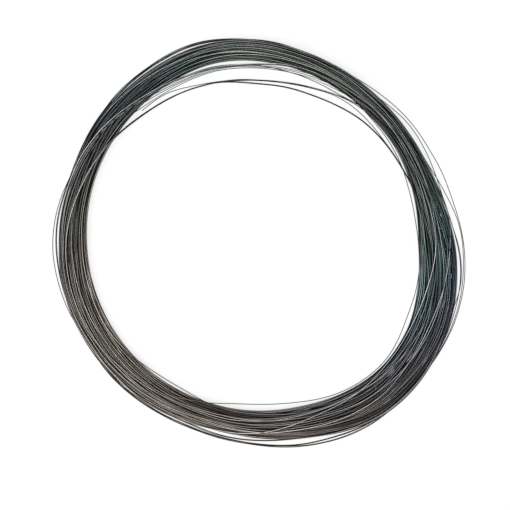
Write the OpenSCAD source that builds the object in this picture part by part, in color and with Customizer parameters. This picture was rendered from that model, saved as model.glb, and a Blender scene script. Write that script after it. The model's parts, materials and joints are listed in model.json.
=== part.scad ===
// Coil of annealed wire, lying flat.
//
// One length of soft dark steel wire, wound on a round former and slipped off it. The bundle is one
// solid turned about Z with its bore. Turns of wire lie side by side all round the edge of its
// section, so every turn that shows on the ends, the outside and the bore is a ridge as wide as the
// wire, and the turns behind them are one plain core. The lowest and innermost turns lie level and in
// line, where the floor and the former held them.

/* [Wire] */
// Diameter of the wire
wire_d = 0.4; // [0.3:0.05:1]
// Share of the wire's diameter by which neighbouring turns nest into each other
nesting = 0.03; // [0.01:0.01:0.1]

/* [Coil] */
// Diameter of the bore, which is the former's
bore_d = 184; // [120:1:300]
// Width of the bundle, from the bore to the outermost turns
bundle_w = 16; // [14:0.5:40]
// Height of the bundle as it lies
bundle_h = 7; // [6:0.5:12]

/* [Slump of the bundle] */
// Corner radius low and next to the bore, as a share of the bundle's height
low_inner = 0.2; // [0.12:0.01:0.4]
// Corner radius low and outside, as a share of the bundle's height
low_outer = 0.3; // [0.12:0.01:0.4]
// Corner radius high and outside, as a share of the bundle's height
high_outer = 0.55; // [0.2:0.01:0.58]
// Corner radius high and next to the bore, as a share of the bundle's height
high_inner = 0.37; // [0.2:0.01:0.58]

/* [Hidden] */

annealed = [0.25, 0.26, 0.27];
bore_r = bore_d / 2;
coil_r = bore_r + bundle_w;
turned_sides = 180;

// Each ridge is the outer side of a wire with a flat on its crest, so that the lowest turns bear on the
// floor and the innermost ones on the former. crest_reach is the distance from the middle of the wire
// to its flat.
wire_r = wire_d / 2;
crest_half_angle = 30;
crest_reach = wire_r * cos(crest_half_angle);

// The middles of the surface turns follow a rectangle with rounded corners, crest_reach inside the
// outline of the bundle.
line_in = bore_r + crest_reach;
line_out = coil_r - crest_reach;
line_low = crest_reach;
line_high = bundle_h - crest_reach;

// Corners in order from low and outside, anticlockwise: the centre of each arc, its radius and the
// angle at which it starts.
function corner(x, z, toward_x, toward_z, share, start) =
    let (r = share * bundle_h - crest_reach) [[x + toward_x * r, z + toward_z * r], r, start];
corners = [
    corner(line_out, line_low, -1, 1, low_outer, 270),
    corner(line_out, line_high, -1, -1, high_outer, 0),
    corner(line_in, line_high, 1, -1, high_inner, 90),
    corner(line_in, line_low, 1, 1, low_inner, 180)
];
quarter = 90;

function on_arc(c, angle) = c[0] + c[1] * [cos(angle), sin(angle)];
function arc_start(c) = on_arc(c, c[2]);
function arc_end(c) = on_arc(c, c[2] + quarter);
function arc_length(c) = c[1] * PI / 2;
function before(i) = corners[(i + len(corners) - 1) % len(corners)];

// Each corner owns the straight stretch that leads to it and then its arc.
function straight_length(i) = norm(arc_start(corners[i]) - arc_end(before(i)));
function stretch_length(i) = straight_length(i) + arc_length(corners[i]);
function line_length(i = 0) = i == len(corners) ? 0 : stretch_length(i) + line_length(i + 1);

function on_straight(i, share) =
    arc_end(before(i)) + (arc_start(corners[i]) - arc_end(before(i))) * share;

// The surface turn a distance s along the line, from the inner end of the lowest straight: its middle,
// and the direction there that faces out of the bundle.
function turn_at(s, i = 0) =
    s > stretch_length(i) && i < len(corners) - 1
    ? turn_at(s - stretch_length(i), i + 1)
    : s < straight_length(i)
    ? [on_straight(i, s / straight_length(i)), corners[i][2]]
    : let (angle = corners[i][2] + quarter * (s - straight_length(i)) / arc_length(corners[i]))
      [on_arc(corners[i], angle), angle];

turn_count = ceil(line_length() / (wire_d * (1 - nesting)));
turns = [for (k = [0 : turn_count - 1]) turn_at(k * line_length() / turn_count)];

// The outline goes over the crest of each turn and down to the groove before the next one, halfway
// between their middles.
function crest_end(turn, side) =
    let (angle = turn[1] + side * crest_half_angle) turn[0] + wire_r * [cos(angle), sin(angle)];
function groove(turn, next) = (turn[0] + next[0]) / 2;
outline = [
    for (k = [0 : turn_count - 1])
        let (turn = turns[k], next = turns[(k + 1) % turn_count])
            each [crest_end(turn, -1), crest_end(turn, 1), groove(turn, next)]
];

module wire_coil() {
    color(annealed)
        rotate_extrude($fn = turned_sides) polygon(outline);
}

wire_coil();
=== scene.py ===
"""A coil of annealed wire, lying flat on a pale floor. Lengths are in metres and angles in degrees,
anticlockwise from +X as seen from above."""

import json
from math import pi, radians

import bmesh
import bpy
import numpy as np
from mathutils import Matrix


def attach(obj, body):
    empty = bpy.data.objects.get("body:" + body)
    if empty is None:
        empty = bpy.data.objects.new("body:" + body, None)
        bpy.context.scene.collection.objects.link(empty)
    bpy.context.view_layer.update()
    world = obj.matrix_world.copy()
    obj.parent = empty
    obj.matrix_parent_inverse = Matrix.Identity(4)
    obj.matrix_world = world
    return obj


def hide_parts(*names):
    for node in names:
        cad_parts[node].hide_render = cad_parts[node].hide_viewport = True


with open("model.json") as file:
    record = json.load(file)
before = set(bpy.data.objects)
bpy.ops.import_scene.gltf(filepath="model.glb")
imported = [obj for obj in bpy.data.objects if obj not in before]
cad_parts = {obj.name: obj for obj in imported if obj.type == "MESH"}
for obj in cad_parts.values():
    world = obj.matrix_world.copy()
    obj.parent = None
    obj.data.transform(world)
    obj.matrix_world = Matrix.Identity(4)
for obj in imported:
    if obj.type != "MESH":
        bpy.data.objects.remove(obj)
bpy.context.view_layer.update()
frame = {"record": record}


# The bundle
# One length of thin soft steel wire was wound on a round former and slipped off it. The bundle has
# slumped since: it is a little oval, narrow at the upper right and spread out at the lower right.
mm = 0.001
wire_d = 0.4 * mm
wire_r = wire_d / 2
bore = next(mount for mount in frame["record"]["mounts"] if mount["name"] == "bore")
bore_r = bore["dims"]["r_mm"] * mm
bundle_w = 14.4 * mm

# A turn is a row of stations, clockwise from the place where the turns are counted.
stations = 288
turn_starts = 208
turn_degrees = turn_starts - np.arange(stations) * 360 / stations
turn_angles = np.radians(turn_degrees)
edge_easing = 7


def eased(values, reach, beyond="edge"):
    """The values along the wire, each averaged with those up to reach stations before and after it."""
    window = np.hanning(2 * reach + 3)[1:-1]
    padded = np.pad(values, reach, mode=beyond)
    return np.convolve(padded, window / window.sum(), mode="valid")


def edge(mean, slump):
    """An edge's radius at each station, from how far in mm it has moved out at some angles."""
    angles, moved = zip(*slump)
    return mean + mm * eased(np.interp(turn_degrees, angles, moved, period=360), edge_easing, "wrap")


inner_edge = edge(bore_r, [
    (180, 0.4), (145, 3.6), (107, 7.2), (97, 6.4), (60, -0.5), (20, -5.5), (2, -7.2), (-10, -4.9),
    (-30, -0.1), (-45, 1.5), (-55, 0.9), (-75, -1.7), (-115, -2.1), (-150, -0.9)])
outer_edge = edge(bore_r + bundle_w, [
    (180, 0.6), (160, -0.8), (140, 1.7), (107, 3.5), (92, 1.8), (80, -1.7), (50, -6.7), (28, -8.3),
    (15, -7.0), (0, -2.1), (-20, 4.0), (-40, 7.3), (-52, 8.1), (-62, 5.8), (-78, 0.5), (-95, -2.6),
    (-110, -3.7), (-140, -0.3), (-160, 1.3)])
room = outer_edge - inner_edge - wire_d


# The wound turns
# They are most of the wire, each laid beside or over the one before. They keep their order over long
# stretches and wander across the bundle, so that sheaves of them cross at small angles.
wound_turns = 186
random_seed = 5
random = np.random.default_rng(random_seed)
stray_size = 0.5
stray_reach = 80
crowding = 0.1
lay_easing = 8

# The wander is a sum of waves, each with its cycles in a turn and its size.
wander_waves = [(0.013, 1.0), (0.031, 0.7), (0.047, 0.5), (0.98, 0.3), (1.99, 0.2)]
travel = np.arange(wound_turns * stations) * 2 * pi / stations
wander = np.zeros(len(travel))
for cycles, size in wander_waves:
    wander += size * np.sin(cycles * travel + random.uniform(0, 2 * pi))
stray = eased(random.standard_normal(len(travel)), stray_reach)
wander += stray_size * stray / stray.std()
wander = wander.reshape(wound_turns, stations)

# The last of them cross the bundle together from the bore to the outside, on the right.
sheaf_turns = 40
sheaf_route = [
    (208, 0.45), (150, 0.50), (100, 0.35), (60, 0.12), (45, 0.15), (30, 0.35), (15, 0.60), (0, 0.85),
    (-20, 0.92), (-60, 0.85), (-100, 0.60), (-152, 0.45)]
sheaf_angles, sheaf_shares = zip(*reversed(sheaf_route))
sheaf_pull = 3.2
sheaf_wander = 0.45
wander[-sheaf_turns:] *= sheaf_wander
wander[-sheaf_turns:] += sheaf_pull * (np.interp(turn_degrees, sheaf_angles, sheaf_shares) - 0.5)

# The order of the turns across the bundle gives each its share of the way from the bore to the outside.
# They lie a little closer in the middle.
places = wander.argsort(axis=0).argsort(axis=0)
shares = (places + 0.5) / wound_turns
shares += crowding * np.sin(2 * pi * shares) / (2 * pi)
shares = eased(shares.ravel(), lay_easing).reshape(wound_turns, stations)


# The slack turns
# The last turns lie loose on top. A turn's route gives the share of the way across the bundle at some
# angles, and its bights give the radius in mm where it stands off the bundle or crosses over it.
def route_points(route, bights):
    """The angles and shares that a turn passes. Its bights take the place of its route where they are."""
    points = []
    for angle, share in route:
        if not any(bight[-1][0] <= angle <= bight[0][0] for bight in bights):
            points.append((angle, share))
    for bight in bights:
        for angle, bight_radius in bight:
            station = np.abs(turn_degrees - angle).argmin()
            points.append((angle, (bight_radius * mm - inner_edge[station] - wire_r) / room[station]))
    return sorted(points, reverse=True)


# Three turns stand off the outside, on the left, at the top, on the right and at the bottom. Each has
# another turn close beside it in some of its bights, which are given by their numbers.
outer_rest = [(208, 0.9), (-40, 0.94), (-52, 0.94)]
outer_bights = [
    [[(200, 108.3), (190, 110.2), (183, 111.1), (176, 110.9), (165, 109.2), (155, 107.0)],
     [(140, 109.0), (134, 110.3), (120, 111.3), (110, 112.3), (104, 111.9), (96, 109.4)],
     [(56, 101.4), (50, 102.9), (35, 103.9), (20, 105.2), (10, 106.6), (0, 109.2), (-10, 111.8),
      (-20, 113.1), (-28, 113.4)],
     [(-62, 113.5), (-70, 112.8), (-80, 111.3), (-100, 107.0), (-108, 106.3), (-125, 106.3),
      (-140, 107.0)]],
    [[(190, 107.9), (185, 108.6), (175, 109.1), (165, 107.9), (160, 107.2)],
     [(134, 109.6), (120, 110.6), (108, 111.6), (98, 109.6)],
     [(48, 100.0), (42, 101.8), (35, 102.5), (25, 101.7), (13, 101.2)],
     [(3, 104.0), (-3, 107.5), (-8, 109.5), (-18, 111.0)],
     [(-65, 112.0), (-70, 111.1), (-80, 110.5), (-100, 106.6), (-106, 106.0), (-133, 106.2)]],
    [[(184, 107.3), (178, 107.5), (170, 106.9), (160, 106.0)],
     [(24, 99.4), (20, 100.8), (10, 105.4), (3, 108.3), (-6, 110.3), (-26, 112.6)],
     [(-84, 105.4), (-92, 105.9), (-103, 105.6), (-116, 104.0)]],
]
doubled_bights = [(1, 3), (0, 1, 3, 4), (2,)]
double_shift = 0.17
double_rest = outer_rest + [(60, 0.9), (-20, 0.9)]

# Six turns cross the bundle as a band at the upper left, and hang in the bore at the top. Its edges
# are given as an angle, the higher radius and the lower one, and the turns crowd to the higher edge.
band_turns = 6
band_route = [(208, 0.86), (190, 0.88), (50, 0.20), (20, 0.30), (-45, 0.50), (-90, 0.62), (-130, 0.75)]
band_spread = 0.3
band_crowding = 2.2
band_edges = [
    (176, 106.8, 103.4), (165, 106.4, 101.9), (155, 106.2, 100.9), (145, 103.8, 99.5), (135, 101.0, 96.8),
    (125, 98.8, 95.2), (112, 97.3, 94.9), (98, 95.8, 94.3), (90, 95.0, 93.4), (78, 95.4, 92.5),
    (68, 94.0, 91.8)]

# Four turns cross the bundle beside the band, close together, and hang furthest into the bore. The
# first is laid later than the others. Of those, the middle one is shifted out at the start, and the last
# is close beside it at the end.
bore_route = [(208, 0.70), (190, 0.75), (30, 0.12), (0, 0.12), (-30, 0.30), (-90, 0.50)]
bore_start = [
    (176, 102.5), (165, 100.2), (150, 96.8), (140, 94.8), (130, 92.3), (120, 91.1), (105, 88.7)]
bore_shifts = [(176, 0.7), (160, 1.1), (143, 0.3), (135, 0.1)]
first_bore_end = [(95, 87.5), (80, 86.6), (70, 87.4), (54, 90.4)]
bore_ends = [
    [(95, 87.1), (80, 86.2), (70, 87.0), (60, 89.1), (50, 87.9), (40, 86.1), (28, 86.0), (22, 86.8)],
    [(95, 85.9), (85, 84.4), (70, 83.3), (60, 84.1), (45, 85.5), (25, 85.8), (19, 86.8)],
]
last_bore_shift = 0.2
bore_ends.append([(angle, end_radius + last_bore_shift) for angle, end_radius in bore_ends[-1]])

# Three turns hang a little into the bore, on the right, at the bottom and at the top.
inner_turns = [
    ([(208, 0.3), (150, 0.12)],
     [[(-14, 87.9), (-25, 88.5), (-30, 88.8), (-42, 92.4)],
      [(-64, 91.2), (-75, 88.8), (-85, 87.2), (-95, 86.8), (-102, 87.6), (-117, 92.6), (-125, 95.9),
       (-140, 100.2)]]),
    ([(208, 0.55), (150, 0.12)],
     [[(27, 86.2), (20, 84.7), (8, 84.0), (3, 84.8)],
      [(-108, 90.4), (-118, 88.7), (-128, 89.1), (-136, 90.4)]]),
    ([(208, 0.15), (150, 0.15), (30, 0.12), (-60, 0.15)],
     [[(84, 93.2), (70, 91.2), (60, 89.5), (52, 90.4)]]),
]

# Seven turns lie over all of these, and all but the first cross them on the right. The third runs along
# the outside at the upper left, and the last is the first of the four that hang furthest into the bore.
crossing_turns = [
    ([(208, 0.45), (150, 0.60), (60, 0.50), (-60, 0.70)], []),
    ([(208, 0.60), (150, 0.45), (60, 0.80), (-90, 0.75)],
     [[(10, 102.2), (-5, 101.4), (-25, 100.4), (-40, 102.0), (-60, 104.0)]]),
    ([(208, 0.85), (160, 0.93), (140, 0.95), (125, 0.78), (105, 0.58), (50, 0.70), (0, 0.80),
      (-100, 0.50)],
     [[(-14, 101.2), (-25, 102.1), (-40, 102.2), (-50, 101.6), (-66, 99.0)]]),
    ([(208, 0.40), (150, 0.25), (90, 0.40), (30, 0.30), (-100, 0.30)],
     [[(-5, 92.9), (-12, 93.4), (-28, 95.5), (-50, 95.0), (-60, 95.2)]]),
    ([(208, 0.30), (160, 0.20), (100, 0.20), (30, 0.40), (-100, 0.40)],
     [[(-10, 95.4), (-26, 97.8), (-40, 97.3), (-60, 95.0)]]),
    ([(208, 0.35), (150, 0.30), (90, 0.80), (20, 0.60), (-110, 0.30)],
     [[(-22, 96.8), (-35, 98.9), (-45, 99.7), (-62, 99.0)]]),
    ([(208, 0.70), (190, 0.75)],
     [bore_start + first_bore_end,
      [(20, 91.6), (0, 93.9), (-5, 94.1), (-16, 92.5), (-30, 92.4), (-46, 93.6), (-70, 96.1), (-80, 98.1),
       (-95, 102.2), (-115, 104.0)]]),
]

# The last whole turn lies over all the others, along the higher edge of the band.
last_route = [(208, 0.88), (50, 0.30), (20, 0.45), (0, 0.80), (-20, 0.92), (-90, 0.75), (-130, 0.67)]
last_bight = [(angle, high) for angle, high, low in band_edges]
end_route = [(208, 0.67), (170, 0.67)]

slack_points = []
for bights, doubled in zip(outer_bights, doubled_bights):
    slack_points.append(route_points(outer_rest, bights))
    double_bights = []
    for number in doubled:
        double_bight = [(angle, outer_radius + double_shift) for angle, outer_radius in bights[number]]
        double_bights.append(double_bight)
    slack_points.append(route_points(double_rest, double_bights))

first_band = wound_turns + len(slack_points)
for turn in range(band_turns):
    band_share = ((turn + 1) / band_turns) ** band_crowding
    route = [(angle, share + band_spread * (0.5 - band_share)) for angle, share in band_route]
    bight = [(angle, high + (low - high) * band_share) for angle, high, low in band_edges]
    slack_points.append(route_points(route, [bight]))

first_bore = wound_turns + len(slack_points)
shift_angles, shifts = zip(*reversed(bore_shifts))
for turn, bore_end in enumerate(bore_ends):
    is_shifted = turn % 2
    start = []
    for angle, start_radius in bore_start:
        start.append((angle, start_radius + is_shifted * np.interp(angle, shift_angles, shifts)))
    slack_points.append(route_points(bore_route, [start + bore_end]))

slack_points += [route_points(route, bights) for route, bights in inner_turns + crossing_turns]
last_turn = wound_turns + len(slack_points)
first_crossing = last_turn - len(crossing_turns)
outside_crossing = first_crossing + 2
bore_crossing = last_turn - 1
slack_points += [route_points(last_route, [last_bight]), end_route]
slack_turns = len(slack_points)
turns = wound_turns + slack_turns

# The slack turns go on from the last wound one.
route_travel = [0]
route_shares = [shares[-1, -1]]
for turn, points in enumerate(slack_points):
    route_travel += [turn + (turn_starts - angle) / 360 for angle, share in points]
    route_shares += [share for angle, share in points]
slack_travel = (np.arange(slack_turns * stations) + 1) / stations
route_easing = 6
slack_shares = eased(np.interp(slack_travel, route_travel, route_shares), route_easing)
shares = np.vstack([shares, slack_shares.reshape(slack_turns, stations)])

# The inner end of the wire stands off the bundle too, below the others, and runs on to the second turn.
first_route = [(208, 0.03), (20, 0.08), (-60, 0.20)]
first_bight = [
    (145, 95.5), (130, 94.8), (121, 94.8), (113, 91.0), (104, 88.8), (90, 87.2), (80, 86.9), (72, 87.5),
    (56, 90.6)]
first_points = route_points(first_route, [first_bight])
first_points.append((turn_starts - 360, shares[1, 0]))
first_angles, first_shares = zip(*reversed(first_points))
shares[0] = eased(np.interp(turn_degrees, first_angles, first_shares), route_easing)

# Soft wire keeps the small bends of its handling.
bend_size = 0.06 * mm
bend_reach = 4
bends = eased(random.standard_normal(turns * stations), bend_reach)
bends *= bend_size / bends.std()
radius = inner_edge + wire_r + shares * room + bends.reshape(turns, stations)


# The lay of the turns on each other
# Each turn comes to rest on the floor or on the turns below it. The wound turns slip sideways into the
# low places, the slack ones hardly, and the stiff wire spans what is left of them.
wound_slip = 0.8 * mm
slack_slip = 0.12 * mm
slip_choices = 13
slip_shares = np.linspace(-1, 1, slip_choices)
slip_easing = 18
span_steps = 6
span_easing = 5
least_radius = inner_edge + wire_r
most_radius = outer_edge - wire_r


def rest_height(tried_radius, laid_radius, laid_height):
    """The least height at which a wire at that radius clears the floor and the wires laid so far."""
    apart = np.abs(laid_radius - tried_radius)
    lift = np.sqrt(np.clip(wire_d ** 2 - apart ** 2, 0, None))
    on_wires = np.where(apart < wire_d, laid_height + lift, wire_r)
    return on_wires.max(axis=0, initial=wire_r)


height = np.zeros((turns, stations))
turn_before = np.full(stations, wire_r)
for turn in range(turns):
    laid = radius[:turn], height[:turn]
    is_wound = 0 < turn < wound_turns
    slip = wound_slip if is_wound else slack_slip
    tried_heights = np.array([rest_height(radius[turn] + slip * share, *laid) for share in slip_shares])
    radius[turn] += slip * eased(slip_shares[tried_heights.argmin(axis=0)], slip_easing)
    if is_wound:
        radius[turn] = np.clip(radius[turn], least_radius, most_radius)
    needed = rest_height(radius[turn], *laid)
    spanned = needed.copy()
    for step in range(span_steps):
        joined = np.concatenate([turn_before, spanned])
        spanned = np.maximum(needed, eased(joined, span_easing)[stations:])
    height[turn] = spanned
    turn_before = spanned

last_easing = 2
radius = eased(radius.ravel(), last_easing).reshape(turns, stations)
height = eased(height.ravel(), last_easing).reshape(turns, stations)

# The wire is cut off at both ends.
inner_end = 132
outer_end = 185
first_station = round((turn_starts - inner_end) / 360 * stations)
last_station = (turns - 1) * stations + round((turn_starts - outer_end) / 360 * stations)
wire = slice(first_station, last_station + 1)
height.flat[:first_station] = 0
height.flat[last_station + 1:] = 0

wire_angles = np.tile(turn_angles, turns)
wire_line = np.column_stack([
    radius.ravel() * np.cos(wire_angles), radius.ravel() * np.sin(wire_angles), height.ravel(),
    np.ones(turns * stations)])[wire]
steps_along = np.linalg.norm(np.diff(wire_line[:, :3], axis=0), axis=1)
metres_along = np.concatenate([[0], np.cumsum(steps_along)])


# The painted light and shade, the rub and the wear of the turns
# A turn that lies low between others is painted dark as shade, and one that stands out is painted light.
# What follows gives three values along the wire: how far it stands out, which sets that painted light and
# shade, how rubbed it is and how worn it is, both with a painted highlight on the turns that lie on top.

# A turn on top of the bundle stands out by 1 where it is the highest of those beside it, and by 0 where
# it lies crown_drop lower. A covered turn has 0 too, and the sides of the bundle are between the two.
# This share is painted into the colour as light and shade: 1 is painted lit, 0 is painted in shade.
cover_reach = 0.7 * wire_d
cover_rise = 0.5 * wire_d
level_reach = 0.8 * mm
crown_reach = 0.65 * mm
crown_drop = 0.26 * mm
uneven_size = 0.1 * mm
uneven_reach = 30
wall_level = 0.5
wall_uneven = 2 / mm
painted_light_easing = 3
uneven = eased(random.standard_normal(turns * stations), uneven_reach)
uneven = (uneven_size / uneven.std() * uneven).reshape(turns, stations)
painted_light_share = np.zeros((turns, stations))
for station in range(stations):
    rise = height[:, station]
    further_out = radius[None, :, station] - radius[:, station, None]
    apart = np.abs(further_out)
    covers = (apart < cover_reach) & (rise[None, :] > rise[:, None] + cover_rise)
    on_top = ~covers.any(axis=1)
    beside = (apart < level_reach) & on_top[None, :]
    crown = rise - (beside * rise[None, :]).sum(axis=1) / np.maximum(beside.sum(axis=1), 1)
    crown += uneven[:, station]
    highest = np.where((apart < crown_reach) & on_top[None, :], crown[None, :], -1).max(axis=1)
    level_with = np.abs(rise[:, None] - rise[None, :]) < cover_reach
    hidden_outside = (level_with & (further_out > cover_rise)).any(axis=1)
    hidden_inside = (level_with & (further_out < -cover_rise)).any(axis=1)
    on_wall = ~(hidden_outside & hidden_inside)
    wall = np.where(on_wall, wall_level + wall_uneven * uneven[:, station], 0)
    painted_light_share[:, station] = np.where(on_top, 1 - (highest - crown) / crown_drop, wall)
painted_light_share = eased(np.clip(painted_light_share, 0, 1).ravel(), painted_light_easing)

# The turns rub on each other, but hardly where they stand off the bundle. There the painted light is
# taken down too, so that a loose turn is painted dark.
loose_rub_and_light = 0.15
on_bundle = (radius > inner_edge) & (radius < outer_edge)
on_bundle[first_band:first_band + band_turns] = True
on_bundle[last_turn] = True
held = eased(np.where(on_bundle, 1, loose_rub_and_light).ravel(), lay_easing)
painted_light_share *= held
# A turn's rub follows how far it stands out, so its bare steel is also a painted highlight on the top
# turns.
rub_and_highlight = painted_light_share * held


# The slack turns are painted pale where they cross the others, partly as wear and partly as a painted
# highlight on the turns that lie on top: the band and the turns beside it at the upper left, and the
# crossing turns on the right.
def wear_and_highlight_along(wear):
    """How worn and highlighted a turn is painted at each station, from its levels at some angles."""
    angles, levels = zip(*wear)
    return np.interp(turn_degrees, angles, levels)


band_wear_and_highlight = wear_and_highlight_along([(118, 0), (130, 1), (168, 1), (185, 0)])
band_pale = wear_and_highlight_along([(75, 0), (85, 0.08), (122, 0.08), (135, 0)])
band_levels = [0.1, 0, 0.8, 0, 0.1, 0.2]
bore_wear_and_highlight = wear_and_highlight_along([(144, 0), (150, 1), (168, 1), (185, 0)])
bore_levels = [0, 0.45, 0.1]
bore_crossing_level = 0.75
outside_wear_and_highlight = wear_and_highlight_along([(102, 0), (110, 0.5), (138, 0.5), (143, 0)])
last_wear_and_highlight = wear_and_highlight_along([(112, 0), (122, 1), (155, 1), (162, 0)])

# Each crossing turn has a level and the angle where its pale stretch begins. They all end alike.
crossing_levels = [(0, 4), (0.9, 4), (0.4, -12), (0.55, -12), (0.6, -12), (0.45, -18), (1.0, 4)]
pale_before = 10
pale_after = 14
pale_end = [(-115, 0.1), (-85, 1)]
wear_and_highlight = np.zeros((turns, stations))
for turn, level in enumerate(band_levels):
    wear_and_highlight[first_band + turn] = level * band_wear_and_highlight + band_pale
for turn, level in enumerate(bore_levels):
    wear_and_highlight[first_bore + turn] = level * bore_wear_and_highlight
for turn, (level, begins) in enumerate(crossing_levels):
    pale_start = [(begins - pale_after, 1), (begins, 0.5), (begins + pale_before, 0)]
    wear_and_highlight[first_crossing + turn] = level * wear_and_highlight_along(pale_end + pale_start)
wear_and_highlight[outside_crossing] += outside_wear_and_highlight
wear_and_highlight[bore_crossing] += bore_crossing_level * bore_wear_and_highlight
wear_and_highlight[last_turn] = last_wear_and_highlight + band_pale
wear_and_highlight = eased(wear_and_highlight.ravel(), lay_easing)


# The finish of the wire
# Annealing left a thin dark oxide on the drawn steel. It runs from brown over violet and blue to teal
# and grey round the coil. Between the turns it is painted nearly black, as shade, and on the turns that
# lie on top it is painted pale grey here and there, partly as rub and partly as a painted highlight.
finish = bpy.data.materials.new("annealed_wire")
finish.use_nodes = True
wire_tree = finish.node_tree
shader = wire_tree.nodes["Principled BSDF"]
shader.inputs["Metallic"].default_value = 0.8
bump_height = 0.02 * mm
whole = (0, 1)


def maths(tree, operation, *values, clamp=False):
    """A Math node, whose inputs are numbers or other nodes' outputs."""
    node = tree.nodes.new("ShaderNodeMath")
    node.operation = operation
    node.use_clamp = clamp
    for socket, value in zip(node.inputs, values):
        if isinstance(value, (int, float)):
            socket.default_value = value
        else:
            tree.links.new(value, socket)
    return node.outputs["Value"]


def ranged(tree, value, given, wanted):
    """The value, taken from the given range to the wanted one and kept inside it."""
    node = tree.nodes.new("ShaderNodeMapRange")
    for name, limit in zip(("From Min", "From Max", "To Min", "To Max"), given + wanted):
        node.inputs[name].default_value = limit
    tree.links.new(value, node.inputs["Value"])
    return node.outputs["Result"]


def noise(tree, source, scale, detail, dimensions="3D"):
    """A Noise node, over the places that the source gives or, in one dimension, along the wire."""
    node = tree.nodes.new("ShaderNodeTexNoise")
    node.noise_dimensions = dimensions
    node.inputs["Scale"].default_value = scale
    node.inputs["Detail"].default_value = detail
    tree.links.new(source, node.inputs["W" if dimensions == "1D" else "Vector"])
    return node.outputs["Fac"]


def bumped(tree, source, shader_node, strength):
    """Makes the surface of a shader rough to the touch, as high as the source says."""
    node = tree.nodes.new("ShaderNodeBump")
    node.inputs["Strength"].default_value = strength
    node.inputs["Distance"].default_value = bump_height
    tree.links.new(source, node.inputs["Height"])
    tree.links.new(node.outputs["Normal"], shader_node.inputs["Normal"])


def along_wire(name):
    """A value that is stored at the points of the mesh."""
    node = wire_tree.nodes.new("ShaderNodeAttribute")
    node.attribute_name = name
    return node.outputs["Fac"]


place = wire_tree.nodes.new("ShaderNodeTexCoord").outputs["Object"]
split = wire_tree.nodes.new("ShaderNodeSeparateXYZ")
wire_tree.links.new(place, split.inputs["Vector"])
bearing = maths(wire_tree, "ARCTAN2", split.outputs["Y"], split.outputs["X"])
from_middle = wire_tree.nodes.new("ShaderNodeVectorMath")
from_middle.operation = "LENGTH"
wire_tree.links.new(place, from_middle.inputs["Vector"])
distance = from_middle.outputs["Value"]

# The tint moves on from the bore to the outside, most on the left and the right, and differs a little
# from turn to turn. Leads are in radians.
lead_radii = (90 * mm, 108 * mm)
radius_leads = (0.4, -0.4)
heat_range = (0.25, 0.75)
heat_leads = (-0.35, 0.35)
heat = noise(wire_tree, along_wire("metres_along"), scale=2.3, detail=1, dimensions="1D")
radius_lead = ranged(wire_tree, distance, lead_radii, radius_leads)
sideways = maths(wire_tree, "DIVIDE", maths(wire_tree, "ABSOLUTE", split.outputs["X"]), distance)
turned_on = maths(wire_tree, "ADD", bearing, maths(wire_tree, "MULTIPLY", radius_lead, sideways))
turned_on = maths(wire_tree, "ADD", turned_on, ranged(wire_tree, heat, heat_range, heat_leads))
round_share = maths(wire_tree, "FRACT", maths(wire_tree, "MULTIPLY_ADD", turned_on, 0.5 / pi, 0.5))
tints = [
    (-180, (0.132, 0.126, 0.117)), (-135, (0.215, 0.187, 0.16)), (-95, (0.125, 0.104, 0.09)),
    (-60, (0.119, 0.108, 0.106)), (-35, (0.06, 0.068, 0.098)), (-10, (0.036, 0.078, 0.094)),
    (5, (0.074, 0.126, 0.128)), (25, (0.084, 0.111, 0.106)), (45, (0.074, 0.088, 0.081)),
    (62, (0.046, 0.055, 0.048)), (80, (0.088, 0.096, 0.082)), (98, (0.113, 0.126, 0.11)),
    (112, (0.075, 0.114, 0.119)), (130, (0.027, 0.042, 0.05)), (150, (0.078, 0.084, 0.084)),
    (165, (0.122, 0.119, 0.111)), (180, (0.132, 0.126, 0.117))]
tint = wire_tree.nodes.new("ShaderNodeValToRGB")
ramp = tint.color_ramp
ramp.elements.remove(ramp.elements[1])
ramp.elements[0].position = 0
ramp.elements[0].color = tints[0][1] + (1,)
for tint_angle, tint_colour in tints[1:]:
    stop = ramp.elements.new((tint_angle + 180) / 360)
    stop.color = tint_colour + (1,)
wire_tree.links.new(round_share, tint.inputs["Fac"])

# Patches along the wire are rubbed and painted lit where a turn stands out, and a worn turn, whose
# paleness is partly a painted highlight, is paler in some patches than in others.
rub_range = (0.40, 0.58)
rub_shares = (0.15, 1)
pale_patch_range = (0.35, 0.6)
pale_patch_shares = (0.5, 1)
patches = noise(wire_tree, along_wire("metres_along"), scale=5, detail=2, dimensions="1D")
rub_patches = ranged(wire_tree, patches, rub_range, rub_shares)
rub_and_highlight_share = maths(wire_tree, "MULTIPLY", rub_patches, along_wire("rub_and_highlight"))
pale_patches = ranged(wire_tree, patches, pale_patch_range, pale_patch_shares)
wear_and_highlight_share = maths(wire_tree, "MULTIPLY", along_wire("wear_and_highlight"), pale_patches)

# The oxide is mottled, finer than the patches, and a turn is painted darker the lower it lies, as shade.
mottle_range = (0.3, 0.7)
mottle_shades = (0.75, 1.25)
painted_shade_levels = (0.17, 0.6)
mottling = ranged(wire_tree, noise(wire_tree, place, scale=900, detail=3), mottle_range, mottle_shades)
painted_shade = ranged(wire_tree, along_wire("painted_light_share"), whole, painted_shade_levels)
tint_with_painted_shade = wire_tree.nodes.new("ShaderNodeVectorMath")
tint_with_painted_shade.operation = "SCALE"
wire_tree.links.new(tint.outputs["Color"], tint_with_painted_shade.inputs["Vector"])
wire_tree.links.new(maths(wire_tree, "MULTIPLY", painted_shade, mottling), tint_with_painted_shade.inputs["Scale"])

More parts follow.
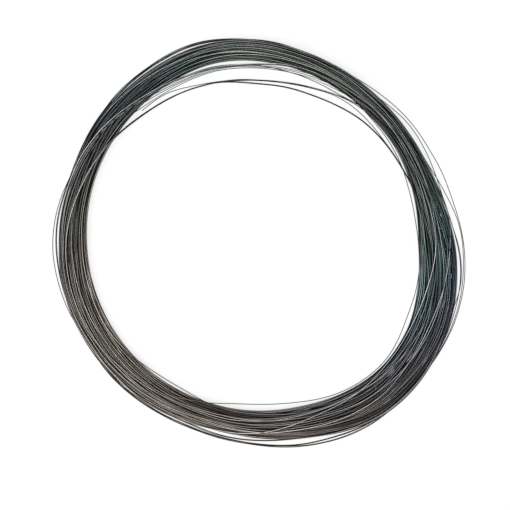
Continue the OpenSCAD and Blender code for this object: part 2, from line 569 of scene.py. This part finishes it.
# Where it is rubbed, and where it stands out on top, the steel shows through, still a little tinted:
# partly rub and partly a painted highlight. Where it is worn it is painted bright, partly as wear and
# partly as a painted highlight on the turns that cross on top.
bare_and_highlight_gain = 3.2
bare_and_highlight_grey = (0.18, 0.18, 0.176)
most_rub_and_highlight = 0.8
wear_and_highlight_grey = (0.87, 0.86, 0.83, 1)
bare_and_highlight = wire_tree.nodes.new("ShaderNodeVectorMath")
bare_and_highlight.operation = "MULTIPLY_ADD"
bare_and_highlight.inputs[1].default_value = (bare_and_highlight_gain, bare_and_highlight_gain, bare_and_highlight_gain)
bare_and_highlight.inputs[2].default_value = bare_and_highlight_grey
wire_tree.links.new(tint.outputs["Color"], bare_and_highlight.inputs[0])
rub_and_highlight_colour = wire_tree.nodes.new("ShaderNodeMix")
rub_and_highlight_colour.data_type = "RGBA"
wire_tree.links.new(tint_with_painted_shade.outputs["Vector"], rub_and_highlight_colour.inputs["A"])
wire_tree.links.new(bare_and_highlight.outputs["Vector"], rub_and_highlight_colour.inputs["B"])
bare_and_highlight_share = maths(wire_tree, "MULTIPLY", rub_and_highlight_share, most_rub_and_highlight)
wire_tree.links.new(bare_and_highlight_share, rub_and_highlight_colour.inputs["Factor"])
wear_and_highlight_colour = wire_tree.nodes.new("ShaderNodeMix")
wear_and_highlight_colour.data_type = "RGBA"
wear_and_highlight_colour.inputs["B"].default_value = wear_and_highlight_grey
wire_tree.links.new(rub_and_highlight_colour.outputs["Result"], wear_and_highlight_colour.inputs["A"])
wire_tree.links.new(wear_and_highlight_share, wear_and_highlight_colour.inputs["Factor"])
wire_tree.links.new(wear_and_highlight_colour.outputs["Result"], shader.inputs["Base Color"])

# The scale on it is a little rough to the touch, and smoother where it is rubbed.
rub_roughness = (0.42, 0.28)
roughness = maths(wire_tree, "MULTIPLY", ranged(wire_tree, rub_and_highlight_share, whole, rub_roughness), mottling)
wire_tree.links.new(roughness, shader.inputs["Roughness"])
bumped(wire_tree, noise(wire_tree, place, scale=6000, detail=2), shader, strength=0.25)


# The lengths of wire
# The wire is drawn round, and made here in lengths that follow one another end to end. Its two ends
# are cut off square, and the cuts are bright and a little torn.
lengths = 6
round_sides = 6

# A bevel is four-sided, and each step of its resolution adds two sides.
bevel_steps = (round_sides - 4) // 2

cut = bpy.data.materials.new("cut_end")
cut.use_nodes = True
cut_tree = cut.node_tree
cut_shader = cut_tree.nodes["Principled BSDF"]
cut_shader.inputs["Metallic"].default_value = 1
cut_dull = (0.55, 0.54, 0.52, 1)
cut_bright = (0.85, 0.84, 0.82, 1)
tear_range = (0.3, 0.7)
cut_roughness = (0.25, 0.45)
cut_place = cut_tree.nodes.new("ShaderNodeTexCoord").outputs["Object"]
tear = noise(cut_tree, cut_place, scale=9000, detail=2)
bright = cut_tree.nodes.new("ShaderNodeValToRGB")
bright.color_ramp.elements[0].color = cut_dull
bright.color_ramp.elements[1].color = cut_bright
cut_tree.links.new(tear, bright.inputs["Fac"])
cut_tree.links.new(bright.outputs["Color"], cut_shader.inputs["Base Color"])
cut_tree.links.new(ranged(cut_tree, tear, tear_range, cut_roughness), cut_shader.inputs["Roughness"])
bumped(cut_tree, tear, cut_shader, strength=0.4)

# On the sheet of its texture a length lies in rows, one to a turn. Two more rows are for the rest of a
# turn and for the two end faces, side by side.
spare_rows = 2
row_fill = 0.9
end_size = 0.01
end_places = (0.25, 0.75)
end_level = 1 - 1.5 * end_size
face_corners = 4
step_points = -(-len(wire_line) // lengths)
for length in range(lengths):
    stretch = slice(length * step_points, (length + 1) * step_points + 1)
    points = wire_line[stretch]
    path = bpy.data.curves.new("path", "CURVE")
    path.dimensions = "3D"
    path.bevel_depth = wire_r
    path.bevel_resolution = bevel_steps
    path.twist_mode = "Z_UP"
    spline = path.splines.new("POLY")
    spline.points.add(len(points) - 1)
    spline.points.foreach_set("co", points.ravel())
    drawn = bpy.data.objects.new("path", path)
    bpy.context.scene.collection.objects.link(drawn)
    bpy.context.view_layer.update()
    mesh = bpy.data.meshes.new_from_object(drawn.evaluated_get(bpy.context.evaluated_depsgraph_get()))
    bpy.data.objects.remove(drawn)
    mesh.name = f"wire_length_{length + 1}"
    mesh.shade_smooth()
    for name, values in (
            ("metres_along", metres_along), ("painted_light_share", painted_light_share[wire]), ("rub_and_highlight", rub_and_highlight[wire]),
            ("wear_and_highlight", wear_and_highlight[wire])):
        stored = mesh.attributes.new(name, "FLOAT", "POINT")
        stored.data.foreach_set("value", np.repeat(values[stretch], round_sides).astype(np.float32))
    mesh.materials.clear()
    mesh.materials.append(finish)
    mesh.materials.append(cut)

    closed = bmesh.new()
    closed.from_mesh(mesh)
    ends = bmesh.ops.holes_fill(closed, edges=closed.edges, sides=round_sides)["faces"]
    bmesh.ops.recalc_face_normals(closed, faces=closed.faces)
    for end in ends:
        end.smooth = False
        is_first = length == 0 and end.verts[0].index < round_sides
        is_last = length == lengths - 1 and end.verts[0].index >= round_sides
        end.material_index = 1 if is_first or is_last else 0
    closed.to_mesh(mesh)
    closed.free()

    rows = len(points) // stations + spare_rows
    corners = np.zeros(len(mesh.loops), dtype=int)
    mesh.loops.foreach_get("vertex_index", corners)
    ring, side = np.divmod(corners, round_sides)
    wall_corners = face_corners * (len(points) - 1) * round_sides
    wall_ring = ring[:wall_corners].reshape(-1, face_corners)
    wall_side = side[:wall_corners].reshape(-1, face_corners)
    wraps = np.ptp(wall_side, axis=1, keepdims=True) > 1
    round_wall = np.where(wraps & (wall_side == 0), round_sides, wall_side) / round_sides
    row = wall_ring.min(axis=1, keepdims=True) // stations
    end_angles = 2 * pi * side / round_sides
    sheet = np.column_stack([
        np.where(ring == 0, *end_places) + end_size * np.cos(end_angles),
        end_level + end_size * np.sin(end_angles)])
    sheet[:wall_corners, 0] = (wall_ring / stations - row).ravel()
    sheet[:wall_corners, 1] = ((row + row_fill * round_wall) / rows).ravel()
    mesh.uv_layers.new(name="OFBake").uv.foreach_set("vector", sheet.ravel().astype(np.float32))

    piece = bpy.data.objects.new(mesh.name, mesh)
    bpy.context.scene.collection.objects.link(piece)
    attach(piece, "root")
    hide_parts("wire_coil")


# The floor and the light
# A plain matt floor under soft light from all round, with a broad lamp high at the lower left. The floor
# is grey to the light, so that it keeps the coil's shadow, and is lifted to white where it is seen.
floor_half = 10
floor_grey = (0.3, 0.3, 0.3, 1)
floor_lift = 0.72
white = (1, 1, 1, 1)
floor_mesh = bpy.data.meshes.new("floor")
floor_form = bmesh.new()
bmesh.ops.create_grid(floor_form, x_segments=1, y_segments=1, size=floor_half)
floor_form.to_mesh(floor_mesh)
floor_form.free()
floor = bpy.data.objects.new("floor", floor_mesh)
bpy.context.scene.collection.objects.link(floor)
pale = bpy.data.materials.new("pale_floor")
pale.use_nodes = True
floor_tree = pale.node_tree
pale_shader = floor_tree.nodes["Principled BSDF"]
pale_shader.inputs["Base Color"].default_value = floor_grey
pale_shader.inputs["Roughness"].default_value = 0.9
pale_shader.inputs["Emission Color"].default_value = white
rays = floor_tree.nodes.new("ShaderNodeLightPath").outputs
seen = maths(floor_tree, "ADD", rays["Is Camera Ray"], rays["Is Glossy Ray"])
seen = maths(floor_tree, "ADD", seen, rays["Is Transmission Ray"], clamp=True)
lifted = maths(floor_tree, "MULTIPLY", seen, floor_lift)
floor_tree.links.new(lifted, pale_shader.inputs["Emission Strength"])
floor_mesh.materials.append(pale)

sky_strength = 0.45
world = bpy.data.worlds.new("studio")
bpy.context.scene.world = world
world.use_nodes = True
world.node_tree.nodes["Background"].inputs["Color"].default_value = white
world.node_tree.nodes["Background"].inputs["Strength"].default_value = sky_strength

lamp_breadth = 60
lamp_strength = 1.9
lamp_slant = 28
lamp_bearing = 230
lamp = bpy.data.lights.new("key", "SUN")
lamp.angle = radians(lamp_breadth)
lamp.energy = lamp_strength
key = bpy.data.objects.new("key", lamp)
key.rotation_euler = (0, radians(lamp_slant), radians(lamp_bearing))
bpy.context.scene.collection.objects.link(key)


# The camera
# It looks straight down on the coil through a long lens, with the top of the picture towards +Y. It
# stands a little off the middle of the bore, to the left and towards the bottom of the picture.
camera_place = (-2.5 * mm, -6.7 * mm, 646 * mm)
lens_length = 85
view = bpy.data.cameras.new("view")
view.lens = lens_length
camera = bpy.data.objects.new("view", view)
camera.location = camera_place
bpy.context.scene.collection.objects.link(camera)
bpy.context.scene.camera = camera
bpy.context.scene.view_settings.view_transform = "Standard"
